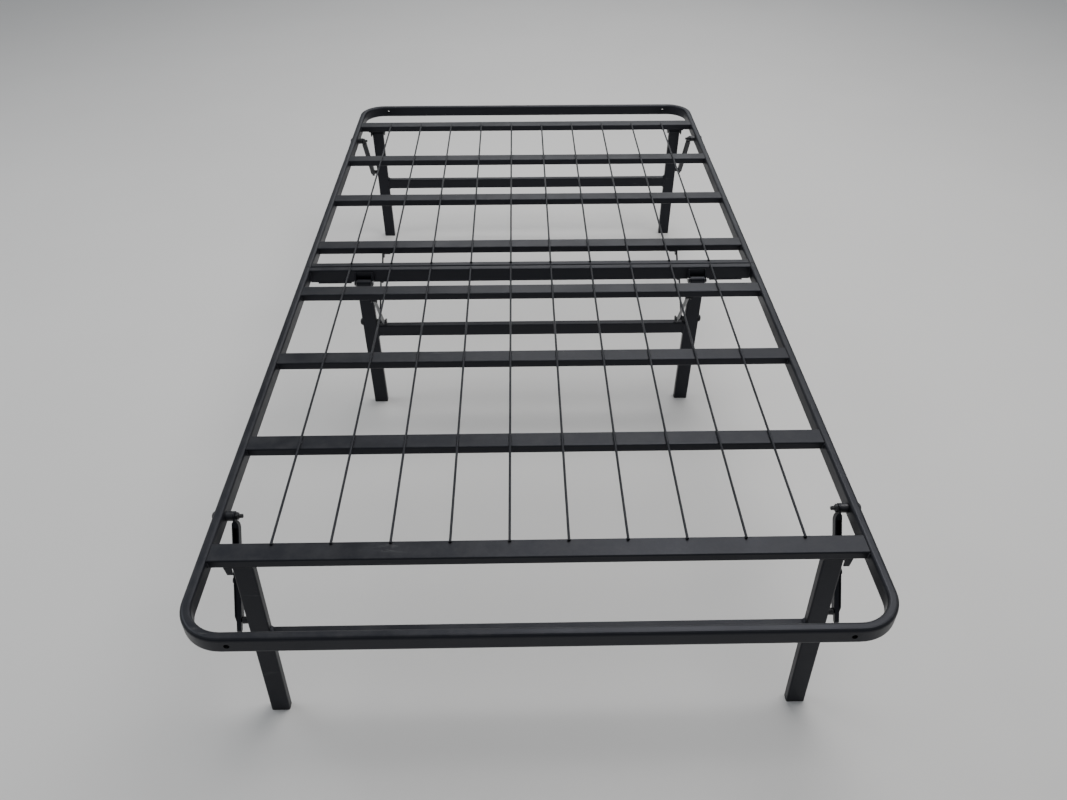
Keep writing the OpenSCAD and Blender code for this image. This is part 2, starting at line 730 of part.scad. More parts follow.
module head_rail() { color(rail_color) at_head() half_rail(); }
module head_fold_bar() { color(rail_color) at_head() half_fold_bar(); }
module head_slat(number) { color(rail_color) at_head() half_slat(number); }
module head_wires() { color(rail_color) at_head() half_wires(); }
module head_leg_bracket_left() { color(rail_color) mirror([1, 0, 0]) at_head() half_leg_bracket(); }
module head_leg_bracket_right() { color(rail_color) at_head() half_leg_bracket(); }
module head_hinge_leaf_left() { color(rail_color) mirror([1, 0, 0]) at_head() half_hinge_leaf([1, 3]); }
module head_hinge_leaf_right() { color(rail_color) at_head() half_hinge_leaf([1, 3]); }
module head_brace_bolts() { color(fastener_color) at_head() both_sides() half_brace_bolt(); }
module head_brace_nuts() { color(fastener_color) at_head() both_sides() half_brace_nut(); }
module head_brace_spacers() { color(fastener_color) at_head() both_sides() half_brace_spacer(); }
module head_leg_pins() { color(fastener_color) at_head() both_sides() end_leg_pin(); }
module centre_link_brackets() { color(rail_color) both_sides() centre_link_bracket(); }

// ---- nodes of the leg frames ----

module end_crossbar() { crossbar(end_leg_x, -end_slat_y, end_leg_lean, end_crossbar_drop); }
module centre_crossbar() { crossbar(mid_leg_x, mid_pivot[0], -mid_leg_lean, mid_crossbar_drop); }
module end_leg() { leg_place(end_leg_x, -end_slat_y, end_leg_lean) leg(end_leg_lean, leg_bolt_drop); }
module mid_leg() { leg_place(mid_leg_x, mid_pivot[0], -mid_leg_lean) leg(-mid_leg_lean, mid_bolt_drop); }
module end_cap() { leg_place(end_leg_x, -end_slat_y, end_leg_lean) leg_cap(end_leg_lean); }
module mid_cap() { leg_place(mid_leg_x, mid_pivot[0], -mid_leg_lean) leg_cap(-mid_leg_lean); }

module foot_leg_left() { color(rail_color) mirror([1, 0, 0]) end_leg(); }
module foot_leg_right() { color(rail_color) end_leg(); }
module foot_crossbar() { color(rail_color) end_crossbar(); }
module foot_leg_caps() { color(cap_color) both_sides() end_cap(); }
module foot_leg_bolts() { color(fastener_color) both_sides() end_leg_bolt(); }
module mid_leg_left() { color(rail_color) mirror([1, 0, 0]) mid_leg(); }
module mid_leg_right() { color(rail_color) mid_leg(); }
module mid_crossbar() { color(rail_color) centre_crossbar(); }
module mid_leg_caps() { color(cap_color) both_sides() mid_cap(); }
module mid_leg_bolts() { color(fastener_color) both_sides() mid_leg_bolt(); }
module head_leg_left() { color(rail_color) at_head() mirror([1, 0, 0]) end_leg(); }
module head_leg_right() { color(rail_color) at_head() end_leg(); }
module head_crossbar() { color(rail_color) at_head() end_crossbar(); }
module head_leg_caps() { color(cap_color) at_head() both_sides() end_cap(); }
module head_leg_bolts() { color(fastener_color) at_head() both_sides() end_leg_bolt(); }

// ---- nodes of the braces and links ----

module foot_brace_arms() { color(rail_color) both_sides() half_brace_arm(); }
module foot_brace_links() { color(rail_color) both_sides() half_brace_link(); }
module head_brace_arms() { color(rail_color) at_head() both_sides() half_brace_arm(); }
module head_brace_links() { color(rail_color) at_head() both_sides() half_brace_link(); }
module centre_far_links() { color(rail_color) both_sides() centre_far_link(); }
module centre_leg_links() { color(rail_color) both_sides() centre_leg_link(); }

// ---- what is drawn ----

foot_rail();
foot_fold_bar();
foot_slat(1);  // foot_slat_1
foot_slat(2);  // foot_slat_2
foot_slat(3);  // foot_slat_3
foot_slat(4);  // foot_slat_4
foot_wires();
foot_leg_bracket_left();
foot_leg_bracket_right();
mid_leg_bracket_left();
mid_leg_bracket_right();
foot_hinge_leaf_left();
foot_hinge_leaf_right();
hinge_pin_left();
hinge_pin_right();
foot_brace_bolts();
foot_brace_nuts();
foot_brace_spacers();
foot_leg_pins();
mid_leg_pins();
spring_anchors();
centre_spring_left();
centre_spring_right();
head_rail();
head_fold_bar();
head_slat(1);  // head_slat_1
head_slat(2);  // head_slat_2
head_slat(3);  // head_slat_3
head_slat(4);  // head_slat_4
head_wires();
head_leg_bracket_left();
head_leg_bracket_right();
head_hinge_leaf_left();
head_hinge_leaf_right();
head_brace_bolts();
head_brace_nuts();
head_brace_spacers();
head_leg_pins();
centre_link_brackets();
foot_leg_left();
foot_leg_right();
foot_crossbar();
foot_leg_caps();
foot_leg_bolts();
mid_leg_left();
mid_leg_right();
mid_crossbar();
mid_leg_caps();
mid_leg_bolts();
head_leg_left();
head_leg_right();
head_crossbar();
head_leg_caps();
head_leg_bolts();
foot_brace_arms();
foot_brace_links();
head_brace_arms();
head_brace_links();
centre_far_links();
centre_leg_links();
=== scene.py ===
"""Looks of the folding metal bed frame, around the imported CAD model. Metres, Z up, foot end towards -Y."""
import json
import math
import random

import bpy
from mathutils import Matrix, Vector


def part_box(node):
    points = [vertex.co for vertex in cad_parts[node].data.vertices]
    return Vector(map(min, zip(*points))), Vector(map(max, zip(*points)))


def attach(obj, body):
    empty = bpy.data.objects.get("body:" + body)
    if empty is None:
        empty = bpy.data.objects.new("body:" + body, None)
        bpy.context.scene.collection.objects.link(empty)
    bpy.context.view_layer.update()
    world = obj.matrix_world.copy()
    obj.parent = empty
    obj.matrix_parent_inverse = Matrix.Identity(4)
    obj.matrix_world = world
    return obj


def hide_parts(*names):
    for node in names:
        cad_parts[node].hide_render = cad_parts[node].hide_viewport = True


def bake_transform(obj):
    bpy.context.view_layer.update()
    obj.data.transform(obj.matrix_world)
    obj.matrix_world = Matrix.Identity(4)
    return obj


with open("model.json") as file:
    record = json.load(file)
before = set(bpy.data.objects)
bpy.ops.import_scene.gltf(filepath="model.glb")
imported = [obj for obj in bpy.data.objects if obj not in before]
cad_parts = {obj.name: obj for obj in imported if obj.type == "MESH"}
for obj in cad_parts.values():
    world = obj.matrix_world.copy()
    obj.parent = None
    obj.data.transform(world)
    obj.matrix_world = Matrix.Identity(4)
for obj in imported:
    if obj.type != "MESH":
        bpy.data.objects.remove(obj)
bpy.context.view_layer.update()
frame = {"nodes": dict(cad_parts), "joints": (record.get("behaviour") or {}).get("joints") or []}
nodes = frame["nodes"]
joints = {j["name"]: j for j in frame["joints"]}
chance = random.Random(11)
SIDES = ("left", "right")
SIGNS = (-1, 1)
HALVES = {"foot": -1, "head": 1}
SLATS_PER_HALF = 4
WIRES_PER_HALF = 10
RAIL_WIDTH = 0.015
LEG_DEPTH = 0.015
CROSSBAR_HEIGHT = 0.028


# ---- camera, light and floor ----

def add_camera():
    """The camera looks along +Y from beyond the foot end, down by 38 degrees."""
    place = Vector((-0.0233, -1.6542, 1.2991))
    yaw, pitch, roll = 0.0175, 0.6703, -0.0008
    ahead = Vector((math.sin(yaw) * math.cos(pitch), math.cos(yaw) * math.cos(pitch), -math.sin(pitch)))
    right = Vector((math.cos(yaw), -math.sin(yaw), 0))
    up = right.cross(ahead)
    right_rolled = right * math.cos(roll) + up * math.sin(roll)
    up_rolled = up * math.cos(roll) - right * math.sin(roll)
    data = bpy.data.cameras.new("camera")
    data.sensor_width = 36
    data.lens = 29.76
    camera = bpy.data.objects.new("camera", data)
    axes = Matrix((right_rolled, up_rolled, -ahead)).transposed()
    camera.matrix_world = Matrix.Translation(place) @ axes.to_4x4()
    bpy.context.scene.collection.objects.link(camera)
    bpy.context.scene.camera = camera


def add_area_light(name, place, target, size, power, colour=(1, 1, 1)):
    data = bpy.data.lights.new(name, "AREA")
    data.shape = "RECTANGLE"
    data.size, data.size_y = size
    data.energy = power
    data.color = colour
    light = bpy.data.objects.new(name, data)
    light.location = place
    light.rotation_euler = (Vector(target) - Vector(place)).to_track_quat("-Z", "Y").to_euler()
    bpy.context.scene.collection.objects.link(light)


def add_world(colour, strength):
    world = bpy.data.worlds.new("studio")
    world.use_nodes = True
    background = world.node_tree.nodes["Background"]
    background.inputs["Color"].default_value = colour
    background.inputs["Strength"].default_value = strength
    bpy.context.scene.world = world


def add_floor(half_size):
    corners = [(x * half_size, y * half_size, 0) for x, y in ((-1, -1), (1, -1), (1, 1), (-1, 1))]
    mesh = bpy.data.meshes.new("floor")
    mesh.from_pydata(corners, [], [(0, 1, 2, 3)])
    mesh.materials.append(floor_material())
    floor = bpy.data.objects.new("floor", mesh)
    bpy.context.scene.collection.objects.link(floor)


def add_studio():
    add_world(colour=(0.9, 0.95, 1, 1), strength=0.34)
    add_area_light("key", (0.9, 0.5, 3.2), (0.1, 0.1, 0), size=(2.2, 1.8), power=84, colour=(1, 0.985, 0.965))
    add_area_light("fill", (-2.6, 0.2, 2.6), (0, 0, 0.1), size=(2.2, 1.8), power=34, colour=(0.95, 0.98, 1))
    add_area_light("rim", (0.4, 3.6, 2.4), (0, 0.6, 0), size=(2.6, 1.2), power=30)
    add_floor(half_size=7)


# ---- materials ----

class Nodes:
    """A short way to write a material's nodes."""

    def __init__(self, name):
        self.material = bpy.data.materials.new(name)
        self.material.use_nodes = True
        self.tree = self.material.node_tree
        self.shader = self.tree.nodes["Principled BSDF"]
        self.place = self.new("TexCoord").outputs["Object"]

    def new(self, kind):
        return self.tree.nodes.new("ShaderNode" + kind)

    def link(self, value, socket):
        if isinstance(value, bpy.types.NodeSocket):
            self.tree.links.new(value, socket)
        else:
            socket.default_value = value

    def stretched(self, scale, offset=(0, 0, 0)):
        node = self.new("Mapping")
        node.inputs["Scale"].default_value = scale
        node.inputs["Location"].default_value = offset
        self.link(self.place, node.inputs["Vector"])
        return node.outputs["Vector"]

    def noise(self, scale, detail, rough, at=None, distortion=0):
        node = self.new("TexNoise")
        self.link(at or self.place, node.inputs["Vector"])
        node.inputs["Scale"].default_value = scale
        node.inputs["Detail"].default_value = detail
        node.inputs["Roughness"].default_value = rough
        node.inputs["Distortion"].default_value = distortion
        return node.outputs["Fac"]

    def maths(self, how, a, b, clamp=False):
        node = self.new("Math")
        node.operation = how
        node.use_clamp = clamp
        self.link(a, node.inputs[0])
        self.link(b, node.inputs[1])
        return node.outputs["Value"]

    def times(self, a, b, clamp=False):
        return self.maths("MULTIPLY", a, b, clamp)

    def ramp(self, value, low, high, out_low=0.0, out_high=1.0):
        node = self.new("MapRange")
        node.interpolation_type = "SMOOTHSTEP"
        self.link(value, node.inputs["Value"])
        node.inputs["From Min"].default_value = low
        node.inputs["From Max"].default_value = high
        node.inputs["To Min"].default_value = out_low
        node.inputs["To Max"].default_value = out_high
        return node.outputs["Result"]

    def roughness(self, value, smoothest, roughest):
        return self.ramp(value, 0.3, 0.7, smoothest, roughest)

    def mix(self, factor, a, b):
        node = self.new("Mix")
        node.data_type = "RGBA"
        self.link(factor, node.inputs["Factor"])
        self.link(a, node.inputs["A"])
        self.link(b, node.inputs["B"])
        return node.outputs["Result"]

    def rounded_normal(self, radius):
        bevel = self.new("Bevel")
        bevel.samples = 4
        bevel.inputs["Radius"].default_value = radius
        return bevel.outputs["Normal"]

    def edges(self, radius):
        """1 on sharp edges and 0 on flat faces."""
        dot = self.new("VectorMath")
        dot.operation = "DOT_PRODUCT"
        self.link(self.rounded_normal(radius), dot.inputs[0])
        self.link(self.new("NewGeometry").outputs["Normal"], dot.inputs[1])
        return self.maths("SUBTRACT", 1, dot.outputs["Value"], clamp=True)

    def facing_up(self):
        split = self.new("SeparateXYZ")
        self.link(self.new("NewGeometry").outputs["Normal"], split.inputs["Vector"])
        return self.ramp(split.outputs["Z"], 0.55, 0.95)

    def bump(self, heights, rounding=0):
        """heights is a list of (value, strength, distance); rounding softens sharp edges."""
        normal = self.rounded_normal(rounding) if rounding else None
        for value, strength, distance in heights:
            node = self.new("Bump")
            node.inputs["Strength"].default_value = strength
            node.inputs["Distance"].default_value = distance
            self.link(value, node.inputs["Height"])
            if normal:
                self.link(normal, node.inputs["Normal"])
            normal = node.outputs["Normal"]
        self.link(normal, self.shader.inputs["Normal"])

    def finish(self, colour, roughness, metallic=0.0, specular=0.5, sheen=(1, 1, 1)):
        self.link(colour, self.shader.inputs["Base Color"])
        self.link(roughness, self.shader.inputs["Roughness"])
        self.shader.inputs["Metallic"].default_value = metallic
        self.shader.inputs["Specular IOR Level"].default_value = specular
        self.shader.inputs["Specular Tint"].default_value = (*sheen, 1)
        return self.material


def shade(grey, tint=(1, 1, 1)):
    return (grey * tint[0], grey * tint[1], grey * tint[2], 1)


COOL = (0.95, 0.98, 1.26)
COOL_SHEEN = (0.84, 0.87, 1)


def powder_coat(name, grey, scuffs, wear, rounding=0.0, grain=1.0):
    """Near-black satin powder coat: orange peel, fine grain, dust on top, scuffs and edges rubbed lighter."""
    n = Nodes(name)
    cloudy = n.noise(7, 4, 0.6)
    peel = n.noise(420 * grain, 2, 0.45)
    fine = n.noise(1500 * grain, 2, 0.6)
    colour = n.mix(cloudy, shade(grey * 0.75, COOL), shade(grey * 1.35, COOL))
    specks = n.ramp(n.noise(950, 2, 0.7), 0.66, 0.76)
    colour = n.mix(n.times(specks, 0.3), colour, shade(grey * 3))
    dust = n.times(n.facing_up(), n.ramp(n.noise(22, 6, 0.7), 0.35, 0.75))
    dust = n.times(dust, 0.09)
    colour = n.mix(dust, colour, shade(0.17, (1.02, 1, 0.97)))
    scratch = n.ramp(n.noise(9, 8, 0.75, at=n.stretched((1, 6, 9)), distortion=0.6), 0.60, 0.70)
    patches = n.noise(3.1, 3, 0.5, at=n.stretched((1, 1, 1), offset=(4.2, 1.7, 0.6)))
    scuffed = n.times(n.times(scratch, n.ramp(patches, 0.52, 0.64)), scuffs, clamp=True)
    colour = n.mix(scuffed, colour, shade(0.095, (1, 1, 0.98)))
    rubbed = n.times(n.ramp(n.edges(0.0012), 0.05, 0.3), n.ramp(n.noise(60, 5, 0.7), 0.5, 0.68))
    rubbed = n.times(rubbed, wear, clamp=True)
    colour = n.mix(rubbed, colour, shade(0.07, (1, 0.98, 0.95)))
    roughness = n.roughness(cloudy, 0.36, 0.46)
    roughness = n.maths("ADD", roughness, n.times(dust, 1.2))
    roughness = n.maths("ADD", roughness, n.times(scuffed, 0.2), clamp=True)
    n.bump([(peel, 0.16, 0.0004), (fine, 0.12, 0.00015)], rounding)
    return n.finish(colour, roughness, specular=0.32, sheen=COOL_SHEEN)


def weld_coat():
    """Coated weld bead: the same coat, a little glossier, over a rough surface."""
    n = Nodes("weld_coat")
    cloudy = n.noise(30, 4, 0.6)
    lumps = n.noise(900, 3, 0.6)
    colour = n.mix(cloudy, shade(0.007, COOL), shade(0.013, COOL))
    dusty = n.times(n.ramp(n.noise(260, 3, 0.6), 0.55, 0.7), 0.3)
    colour = n.mix(dusty, colour, shade(0.06))
    n.bump([(lumps, 0.3, 0.0004)])
    return n.finish(colour, n.roughness(cloudy, 0.34, 0.5), specular=0.4, sheen=COOL_SHEEN)


def black_fastener():
    """Black-coated steel bolts, with bright metal where tools and other parts rubbed."""
    n = Nodes("black_fastener")
    cloudy = n.noise(90, 4, 0.6)
    rubbed = n.times(n.ramp(n.edges(0.0008), 0.04, 0.25), n.ramp(n.noise(220, 4, 0.7), 0.42, 0.62))
    colour = n.mix(cloudy, shade(0.011), shade(0.026, COOL))
    colour = n.mix(rubbed, colour, shade(0.17, (1, 0.97, 0.93)))
    n.bump([(n.noise(1600, 2, 0.5), 0.12, 0.0001)], rounding=0.0003)
    return n.finish(colour, n.roughness(cloudy, 0.28, 0.44), metallic=0.25)


def zinc(name, grey):
    """Dull zinc-plated steel with fine marks and a faint tarnish."""
    n = Nodes(name)
    cloudy = n.noise(60, 5, 0.65)
    fine = n.noise(1800, 3, 0.6)
    spots = n.ramp(n.noise(320, 3, 0.6), 0.6, 0.72)
    colour = n.mix(cloudy, shade(grey * 0.8), shade(grey * 1.12, (0.99, 1, 1.02)))
    colour = n.mix(n.times(spots, 0.5), colour, shade(grey * 0.45, (1.04, 1, 0.92)))
    n.bump([(fine, 0.16, 0.0001)])
    return n.finish(colour, n.roughness(cloudy, 0.3, 0.46), metallic=0.9)


def black_plastic():
    """Moulded black polyethylene, matte, with a scuffed sole."""
    n = Nodes("foot_plastic")
    grain = n.noise(1300, 2, 0.6)
    cloudy = n.noise(40, 4, 0.6)
    worn = n.times(n.ramp(n.edges(0.0015), 0.04, 0.3), n.ramp(n.noise(180, 5, 0.7), 0.45, 0.65))
    colour = n.mix(cloudy, shade(0.011), shade(0.02))
    colour = n.mix(worn, colour, shade(0.09, (1, 0.99, 0.96)))
    n.bump([(grain, 0.25, 0.0002)], rounding=0.0004)
    return n.finish(colour, n.roughness(cloudy, 0.55, 0.7), specular=0.35)


def floor_material():
    n = Nodes("floor")
    colour = n.mix(n.noise(1.4, 4, 0.5), (0.66, 0.65, 0.64, 1), (0.71, 0.70, 0.69, 1))
    return n.finish(colour, n.roughness(n.noise(5, 4, 0.5), 0.5, 0.6), specular=0.3)


def make_materials():
    return {
        "rail": powder_coat("rail_coat", 0.007, scuffs=0.9, wear=0.6),
        "slat": powder_coat("slat_coat", 0.0065, scuffs=0.6, wear=0.4),
        "leg": powder_coat("leg_coat", 0.006, scuffs=0.5, wear=0.6),
        "wire": powder_coat("wire_coat", 0.006, scuffs=0.3, wear=0.0, grain=1.5),
        "sheet": powder_coat("sheet_coat", 0.006, scuffs=0.3, wear=0.9, rounding=0.0005),
        "weld": weld_coat(),
        "fastener": black_fastener(),
        "pin": zinc("pin_zinc", 0.34),
        "spring": zinc("spring_zinc", 0.32),
        "plastic": black_plastic(),
    }


def cad_finish(name):
    """The material of a carried-over CAD node, by its name."""
    rules = [
        ("caps", "plastic"), ("centre_spring", "spring"), ("hinge_pin", "pin"), ("_pins", "pin"),
        ("bolts", "fastener"), ("nuts", "fastener"), ("spacers", "fastener"), ("anchors", "fastener"),
        ("bracket", "sheet"), ("hinge_leaf", "sheet"), ("brace_", "sheet"), ("_links", "sheet"),
        ("wires", "wire"), ("rail", "rail"), ("slat", "slat"), ("fold_bar", "slat"),
    ]
    return next((finish for part, finish in rules if part in name), "leg")


def finish_cad_nodes(materials):
    for name, obj in nodes.items():
        material = materials[cad_finish(name)]
        if not obj.material_slots:
            obj.data.materials.append(material)
        for slot in obj.material_slots:
            slot.material = material


# ---- mesh building ----

def circle(centre, radius, side, other, steps, turn=0.0):
    """Points around a centre, in the plane of two directions."""
    angles = [turn + 2 * math.pi * k / steps for k in range(steps)]
    return [centre + radius * (side * math.cos(a) + other * math.sin(a)) for a in angles]


class Shape:
    """Collects vertices and faces, then becomes one object that rides a body."""

    def __init__(self):
        self.verts, self.faces = [], []

    def skin(self, rings, flip=False):
        """A closed surface over rings of equal length; flip is for rings that run against their own axis."""
        count = len(rings[0])
        faces = []
        for ring in range(len(rings) - 1):
            for k in range(count):
                a, b = ring * count + k, ring * count + (k + 1) % count
                faces.append((a, a + count, b + count, b) if flip else (a, b, b + count, a + count))
        first = tuple(range(count))
        last = tuple((len(rings) - 1) * count + k for k in first)
        faces += [first, last[::-1]] if flip else [first[::-1], last]
        base = len(self.verts)
        self.verts += [tuple(v) for ring in rings for v in ring]
        self.faces += [tuple(base + i for i in face) for face in faces]

    def tube(self, path, radii, sides):
        """A tube with closed ends along path, with a radius at each point."""
        last = len(path) - 1
        along = [(path[min(i + 1, last)] - path[max(i - 1, 0)]).normalized() for i in range(len(path))]
        side = along[0].orthogonal().normalized()
        rings = []
        for point, ahead, radius in zip(path, along, radii):
            side = (side - ahead * side.dot(ahead)).normalized()
            rings.append(circle(point, radius, side, ahead.cross(side), sides))
        self.skin(rings)

    def lathe(self, profile, origin, axis, steps, turn=0.0):
        """Turns a profile of (distance along the axis, radius) about an axis; both ends are closed."""
        origin, axis = Vector(origin), Vector(axis).normalized()
        side = axis.orthogonal().normalized()
        other = axis.cross(side)
        rings = [circle(origin + axis * at, radius, side, other, steps, turn) for at, radius in profile]
        self.skin(rings)

    def lump(self, centre, radii):
        """A slightly uneven ellipsoid."""
        ring_count, steps, unevenness = 6, 12, 0.1
        rings = []
        for i in range(ring_count):
            polar = math.pi * (i + 0.5) / ring_count
            ring = []
            for k in range(steps):
                a = 2 * math.pi * k / steps
                wobble = 1 + chance.uniform(-unevenness, unevenness)
                ring.append(Vector(centre) + wobble * Vector((
                    radii[0] * math.sin(polar) * math.cos(a),
                    radii[1] * math.sin(polar) * math.sin(a),
                    radii[2] * math.cos(polar),
                )))
            rings.append(ring)
        self.skin(rings, flip=True)

    def build(self, name, material, smooth_angle=50):
        mesh = bpy.data.meshes.new(name)
        mesh.from_pydata(self.verts, [], self.faces)
        mesh.validate()
        mesh.materials.append(material)
        mesh.polygons.foreach_set("use_smooth", [True] * len(mesh.polygons))
        mesh.set_sharp_from_angle(angle=math.radians(smooth_angle))
        obj = bpy.data.objects.new(name, mesh)
        bpy.context.scene.collection.objects.link(obj)
        return obj

    def ride(self, name, material, body, slot, smooth_angle=50):
        obj = self.build(name, material, smooth_angle)
        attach(obj, body)
        return obj


def resampled(corners, step):
    """Points along a line through corners, about step apart."""
    points = [Vector(corners[0])]
    for a, b in zip(corners, corners[1:]):
        a, b = Vector(a), Vector(b)
        count = max(1, round((b - a).length / step))
        points += [a.lerp(b, (i + 1) / count) for i in range(count)]
    return points


def bead(shape, corners, radius):
    """A weld bead along a line: overlapping scales, a little uneven, thinner at its ends."""
    pitch, step, taper, end_size = 0.0016, 0.0005, 0.003, 0.45
    points = resampled(corners, step)
    phase = chance.uniform(0, 1)
    total = len(points)
    radii, path = [], []
    for i, point in enumerate(points):
        scale = (i * step / pitch + phase) % 1
        ends = min(1, (i + 2) * step / taper, (total - i + 1) * step / taper)
        crest = 0.82 + 0.2 * math.sqrt(1 - scale) + chance.uniform(-0.03, 0.03)
        radii.append(radius * crest * (end_size + (1 - end_size) * ends))
        path.append(point + Vector([chance.uniform(-1, 1) * radius * 0.05 for _ in range(3)]))
    shape.tube(path, radii, 8)


# ---- welds ----

FACE_SINK = 0.0002  # how far the middle of a bead lies inside the face that it follows


def welds_of_deck(half, materials):
    """Beads where slats and the fold bar meet the rail, and spot welds where wires cross them."""
    beads, spots = Shape(), Shape()
    rail_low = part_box(f"{half}_rail")[0]
    for name in [f"{half}_slat_{n}" for n in range(1, SLATS_PER_HALF + 1)] + [f"{half}_fold_bar"]:
        low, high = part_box(name)
        front, back = low.y + FACE_SINK, high.y - FACE_SINK
        for side in SIGNS:
            x = side * (high.x - 2 * FACE_SINK)
            for y in (front, back):
                bead(beads, [(x, y, low.z + 0.0018), (x, y, high.z - 0.0032)], 0.0017)
            if low.z > rail_low.z + 0.001:
                bottom = low.z + FACE_SINK
                bead(beads, [(x, front + 0.002, bottom), (x, back - 0.002, bottom)], 0.0018)
        spot_welds(spots, half, low, high)
    beads.ride(f"{half}_deck_welds", materials["weld"], f"{half}_half", "frame_paint")
    spots.ride(f"{half}_wire_welds", materials["weld"], f"{half}_half", "wire_paint")


def spot_welds(spots, half, low, high):
    """A lump on each side of every wire, where the wires cross a slat or fold bar with corners low and high."""
    wires_low, wires_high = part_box(f"{half}_wires")
    wire_r = (wires_high.z - wires_low.z) / 2
    wire_pitch = (wires_high.x - wires_low.x - 2 * wire_r) / (WIRES_PER_HALF - 1)
    start, stop = max(low.y, wires_low.y), min(high.y, wires_high.y)
    reach = min(0.0042, (stop - start) / 2 - 0.0008)
    for i in range(WIRES_PER_HALF):
        x = wires_low.x + wire_r + i * wire_pitch
        y = (start + stop) / 2 + chance.uniform(-0.0004, 0.0004)
        for side in SIGNS:
            spots.lump(
                (x + side * wire_r * 0.62, y, high.z + 0.0003),
                (0.0017, reach * chance.uniform(0.8, 1), 0.0011),
            )


def welds_of_legs(frame_name, materials):
    """Beads around the ends of a crossbar, with heavier fillets at its corners."""
    beads = Shape()
    low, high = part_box(f"{frame_name}_crossbar")
    pivot = Vector(joints[f"{frame_name}_legs_fold"]["pos_m"])
    centre = (low + high) / 2
    down = Vector((0, centre.y - pivot.y, centre.z - pivot.z)).normalized()
    across = Vector((0, down.z, -down.y))
    half_depth, half_height = LEG_DEPTH / 2, CROSSBAR_HEIGHT / 2
    sink, end_gap = 0.0001, 0.002
    fillet_rows, fillet_step, fillet_size, fillet_end_gap = 5, 0.0008, 0.0034, 0.0028
    for side in SIGNS:
        end = Vector((side * (high.x - FACE_SINK), centre.y, centre.z))
        inward = Vector((-side, 0, 0))
        for way in SIGNS:
            face = end + across * (half_depth - sink) * way
            run = down * (half_height - end_gap)
            bead(beads, [face - run, face + run], 0.0018)
            edge = end + down * (half_height - sink) * way
            run = across * (half_depth - end_gap)
            bead(beads, [edge - run, edge + run], 0.0024)
            run = across * (half_depth - fillet_end_gap)
            for row in range(fillet_rows):
                out = down * way * (fillet_size - fillet_step * row)
                middle = edge + inward * fillet_step * row + out
                bead(beads, [middle - run, middle + run], 0.0017)
    beads.ride(f"{frame_name}_crossbar_welds", materials["weld"], f"{frame_name}_legs", "frame_paint")


def welds_of_brackets(half, sign, materials):
    """Beads that hold the leg brackets to the slats and the hinge leaves to the fold bars."""
    beads = Shape()
    bar_low, bar_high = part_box(f"{half}_fold_bar")
    fold_face = bar_low.y if sign < 0 else bar_high.y
    leaf_bead_starts, leaf_bead_length = (0.004, 0.028, 0.052), 0.014
    for side in SIDES:
        low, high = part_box(f"{half}_leg_bracket_{side}")
        for x in (low.x, high.x):
            bead(beads, [(x, low.y + 0.004, high.z - 0.0006), (x, high.y - 0.004, high.z - 0.0006)], 0.0013)
        low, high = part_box(f"{half}_hinge_leaf_{side}")
        for start in leaf_bead_starts:
            x = low.x + start
            bead(beads, [(x, fold_face, high.z), (x + leaf_bead_length, fold_face, high.z)], 0.0015)
    if half == "foot":
        for side in SIDES:
            low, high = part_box(f"mid_leg_bracket_{side}")
            for x in (low.x, high.x):
                bead(beads, [(x, high.y, low.z + 0.003), (x, high.y, high.z - 0.003)], 0.0013)
    beads.ride(f"{half}_bracket_welds", materials["weld"], f"{half}_half", "frame_paint")


# ---- fasteners ----

def thread(radius, start, stop):
    """Profile of a threaded end, from start to stop along the axis, with a chamfered tip."""
    pitch, depth, chamfer = 0.00125, 0.0006, 0.0012
    profile, at = [], start
    while at < stop - chamfer:
        profile += [(at, radius), (at + pitch * 0.5, radius - depth)]
        at += pitch
    return profile + [(stop - 0.0008, radius - depth * 0.5), (stop, radius - chamfer)]


def dome(radius, height):
    """Profile of a domed bolt head from its flat side at 0 to its top."""
    rim, steps = 0.0007, 9
    turns = [math.pi / 2 * i / steps for i in range(steps)]
    curve = [(rim + (height - rim) * math.sin(a), radius * math.cos(a)) for a in turns]
    return [(0, radius * 0.985), (0.0002, radius)] + curve + [(height, radius * 0.06)]


def hex_nut(shape, origin, axis, across_corners, height, turn):
    """A nut with chamfered corners and a domed collar."""
    flat = across_corners * math.cos(math.pi / 6)
    body = [(0, 0.985 * flat), (0.12, across_corners), (0.74, across_corners), (0.86, 0.97 * flat)]
    collar = [(0.8, 0.9 * flat), (0.94, 0.86 * flat), (1, 0.74 * flat)]
    shape.lathe([(height * at, radius) for at, radius in body], origin, axis, 6, turn)
    shape.lathe([(height * at, radius) for at, radius in collar], origin, axis, 28)


def reach_in(node):
    """Distances from the bed's centre line to a pair's inner and outer ends, read from the right side."""
    xs = [v.co.x for v in nodes[node].data.vertices if v.co.x > 0]
    return min(xs), max(xs)


